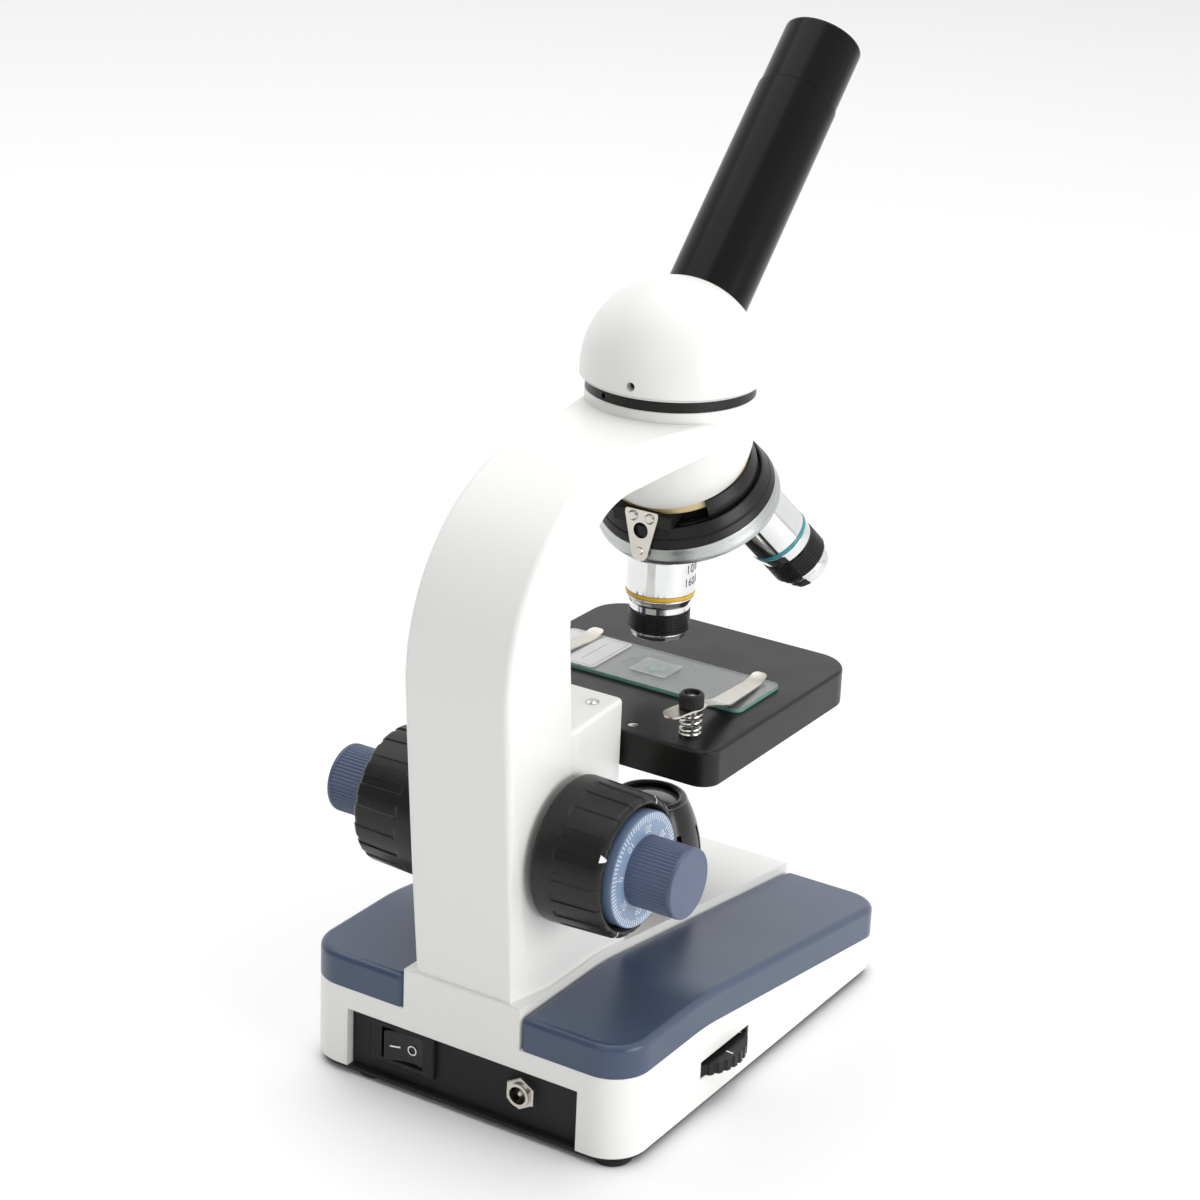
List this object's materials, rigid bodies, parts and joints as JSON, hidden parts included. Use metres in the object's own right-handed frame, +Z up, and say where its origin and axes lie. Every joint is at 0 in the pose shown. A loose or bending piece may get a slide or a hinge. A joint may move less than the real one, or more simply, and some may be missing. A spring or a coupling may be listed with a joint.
{
  "type": "compound microscope",
  "caption": "Monocular student microscope: sloping two-tone base with lamp, curved arm, square stage with clips, side focus knobs, tilted turret and slanted eyepiece tube on a dome head.",
  "frame": {"origin": "on the table under the middle of the object's overall box, in its plane of symmetry", "axes": "+Z up; -Y towards the user; +Y towards the arm at the back; the fine scale and brightness wheel are on -X"},
  "size_m": [0.1215, 0.1997, 0.2985],
  "materials": {
    "white_shell": "satin paint",
    "blue_cover": "satin",
    "black_plastic": "satin",
    "black_metal": "semi-gloss black",
    "rubber": "matte",
    "steel": "bright",
    "brass": "machined",
    "circuit_board": "matte",
    "clear_glass": "polished",
    "blue_knob": "satin",
    "blue_scale": "satin",
    "paper_label": "matte paper",
    "cream_washer": "satin",
    "turret_alloy": "fine turned",
    "objective_chrome": "polished",
    "yellow_band": "gloss",
    "teal_band": "gloss",
    "red_band": "gloss"
  },
  "bodies": {
    "stand": {"base_shell": "white_shell", "bottom_plate": "black_plastic", "side_covers": "blue_cover", "rear_panel": "black_plastic", "rubber_feet": "rubber", "base_screws": "steel", "arm": "white_shell", "switch_housing": "black_plastic", "dc_jack": "black_plastic", "jack_nut": "steel", "driver_board": "circuit_board", "lamp_housing": "black_plastic", "lamp_lens": "clear_glass", "led_board": "circuit_board", "head_ring": "black_metal", "nosepiece_washer": "cream_washer", "nosepiece_base": "black_metal", "turret_bolt": "steel", "click_spring": "steel", "small_screws": "steel", "focus_bearings": "brass"},
    "carriage": {"focus_slide": "steel"},
    "stage": {"stage_bracket": "black_metal", "stage_plate": "black_metal", "stage_screws": "steel", "condenser_mount": "black_plastic", "condenser_lens": "clear_glass", "glass_slide": "clear_glass", "slide_label": "paper_label", "cover_slip": "clear_glass", "clip_screws": "black_metal", "clip_springs": "steel"},
    "left_clip_body": {"left_clip": "steel"},
    "right_clip_body": {"right_clip": "steel"},
    "diaphragm": {"diaphragm_disc": "black_metal"},
    "coarse_drive": {"coarse_shaft": "steel", "coarse_knobs": "black_plastic"},
    "fine_drive": {"fine_shaft": "steel", "fine_knobs": "blue_knob", "fine_scale_disc": "blue_scale"},
    "head": {"head_dome": "white_shell", "eyepiece_tube": "black_metal", "head_prism": "clear_glass", "dome_set_screw": "steel"},
    "eyepiece": {"eyepiece_body": "black_metal", "eyepiece_lenses": "clear_glass"},
    "turret": {"turret_disc": "black_metal", "turret_ring": "turret_alloy", "objective_4x": "objective_chrome", "objective_10x": "objective_chrome", "objective_40x": "objective_chrome", "band_4x": "red_band", "band_10x": "yellow_band", "band_40x": "teal_band", "objective_grips": "objective_chrome", "front_lenses": "clear_glass"},
    "sprung_nose": {"objective_40x_nose": "objective_chrome"},
    "rocker": {"power_rocker": "black_plastic"},
    "wheel": {"brightness_wheel": "black_plastic"}
  },
  "joints": [
    {"name": "coarse_slide", "type": "slide", "parent": "stand", "child": "carriage", "axis": [0, 0, 1], "range_m": [-0.02, 0.0045]},
    {"name": "coarse_knob_turn", "type": "hinge", "parent": "stand", "child": "coarse_drive", "pos_m": [0, 0.0691, 0.0839], "axis": [1, 0, 0], "range_deg": [-60, 220]},
    {"name": "fine_knob_turn", "type": "hinge", "parent": "stand", "child": "fine_drive", "pos_m": [0, 0.0691, 0.0839], "axis": [1, 0, 0], "range_deg": [-900, 900]},
    {"name": "fine_slide", "type": "slide", "parent": "carriage", "child": "stage", "axis": [0, 0, 1], "range_m": [-0.0005, 0.0005]},
    {"name": "left_clip_swing", "type": "hinge", "parent": "stage", "child": "left_clip_body", "pos_m": [-0.0324, 0.0255, 0.1156], "axis": [0, 0, 1], "range_deg": [-30, 20]},
    {"name": "right_clip_swing", "type": "hinge", "parent": "stage", "child": "right_clip_body", "pos_m": [0.0324, 0.0255, 0.1156], "axis": [0, 0, 1], "range_deg": [-20, 30]},
    {"name": "diaphragm_turn", "type": "hinge", "parent": "stage", "child": "diaphragm", "pos_m": [0, -0.0231, 0.096], "axis": [0, 0, 1], "continuous": true},
    {"name": "turret_turn", "type": "hinge", "parent": "stand", "child": "turret", "pos_m": [0, -0.0086, 0.19006], "axis": [0, -0.4242, -0.9056], "continuous": true},
    {"name": "nose_40x_slide", "type": "slide", "parent": "turret", "child": "sprung_nose", "axis": [0.3674, 0.5762, 0.7301], "range_m": [0, 0.0003], "stiffness_N_per_m": 200},
    {"name": "head_turn", "type": "hinge", "parent": "stand", "child": "head", "pos_m": [0, -0.0086, 0.2], "axis": [0, 0, 1], "continuous": true},
    {"name": "eyepiece_slide", "type": "slide", "parent": "head", "child": "eyepiece", "axis": [0, -0.6858, 0.7278], "range_m": [0, 0.025]},
    {"name": "power_rocker_tip", "type": "hinge", "parent": "stand", "child": "rocker", "pos_m": [0.0214, 0.0881, 0.01465], "axis": [0, 0, 1], "range_deg": [-18, 0]},
    {"name": "brightness_turn", "type": "hinge", "parent": "stand", "child": "wheel", "pos_m": [-0.0434, 0.0371, 0.0141], "axis": [0, 0, 1], "range_deg": [-135, 135]}
  ],
  "couplings": [
    {"joint": "coarse_knob_turn", "follows": "coarse_slide", "rad_per_m": -178.57},
    {"joint": "fine_knob_turn", "follows": "fine_slide", "rad_per_m": 31416}
  ]
}
